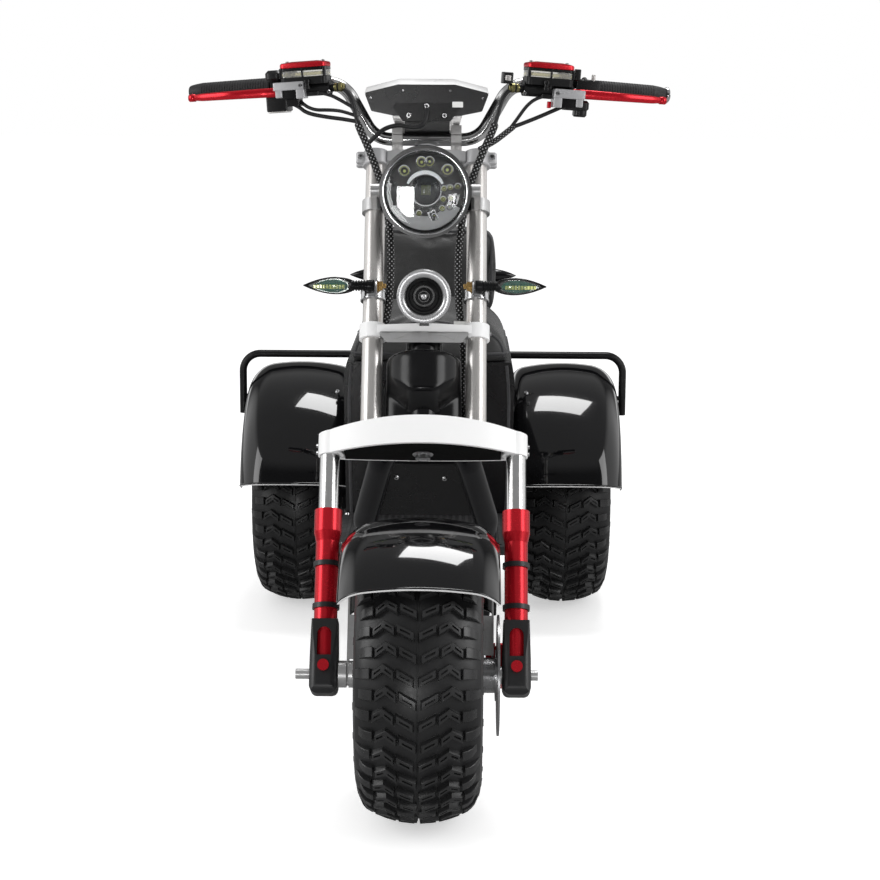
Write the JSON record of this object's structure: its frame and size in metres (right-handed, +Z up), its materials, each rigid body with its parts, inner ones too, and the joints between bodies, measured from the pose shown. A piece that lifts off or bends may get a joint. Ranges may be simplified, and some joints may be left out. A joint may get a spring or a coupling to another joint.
{
  "type": "three-wheeled fat-tyre electric scooter",
  "caption": "Chopper-style electric trike with a raked fork, wide knobbly tyres, a low deck, a padded saddle with backrest and rear fenders under a bent guard rail.",
  "frame": {"origin": "on the ground, at the middle of the vehicle's bounding box", "axes": "+Z up, -Y forward, +X to the vehicle's left"},
  "size_m": [0.844, 1.8454, 1.1709],
  "materials": {
    "gloss_black": "gloss",
    "satin_black": "satin",
    "white_coat": "satin",
    "brushed": "brushed",
    "chrome": "polished",
    "red_anodised": "anodised",
    "cast_alloy": "satin",
    "rubber": "matte",
    "tyre": "matte",
    "leather": "satin",
    "clear_lens": "gloss",
    "red_lens": "gloss",
    "pale_lens": "gloss",
    "black_plastic": "gloss"
  },
  "bodies": {
    "chassis": {"frame": "gloss_black", "neck_cover": "gloss_black", "front_panel": "satin_black", "deck": "rubber", "battery_box": "satin_black", "seat_box": "satin_black", "seat": "leather", "backrest": "leather", "rear_axle": "satin_black", "shock_absorbers": "cast_alloy", "rear_fenders": "gloss_black", "guard_rail": "satin_black", "rear_rack": "satin_black", "tail_lamp": "red_lens", "rear_signals": "pale_lens"},
    "fork": {"crown": "white_coat", "mid_yoke": "white_coat", "top_yoke": "cast_alloy", "inner_tubes": "brushed", "stanchions": "chrome", "fork_legs": "red_anodised", "fork_feet": "satin_black", "front_axle": "brushed", "front_fender": "gloss_black", "front_caliper": "red_anodised", "handlebar": "chrome", "risers": "brushed", "grips": "rubber", "master_cylinders": "satin_black", "reservoirs": "red_anodised", "brake_levers": "red_anodised", "switch_pods": "satin_black", "dash": "black_plastic", "headlamp_shell": "black_plastic", "headlamp_lens": "clear_lens", "horn": "black_plastic", "front_signals": "pale_lens", "cable_harness": "satin_black"},
    "front_wheel": {"front_tyre": "tyre", "front_rim": "cast_alloy", "front_disc": "brushed"},
    "rear_wheel_left": {"rear_tyre_left": "tyre", "rear_rim_left": "cast_alloy"},
    "rear_wheel_right": {"rear_tyre_right": "tyre", "rear_rim_right": "cast_alloy"}
  },
  "joints": [
    {"name": "steering", "type": "hinge", "parent": "chassis", "child": "fork", "pos_m": [0, -0.69425, 0.2285], "axis": [0, 0.4695, 0.8829], "range_deg": [-35, 35]},
    {"name": "front_wheel_spin", "type": "hinge", "parent": "fork", "child": "front_wheel", "pos_m": [0, -0.69425, 0.2285], "axis": [1, 0, 0], "continuous": true},
    {"name": "rear_left_spin", "type": "hinge", "parent": "chassis", "child": "rear_wheel_left", "pos_m": [0.285, 0.62575, 0.2285], "axis": [1, 0, 0], "continuous": true},
    {"name": "rear_right_spin", "type": "hinge", "parent": "chassis", "child": "rear_wheel_right", "pos_m": [-0.285, 0.62575, 0.2285], "axis": [1, 0, 0], "continuous": true}
  ]
}
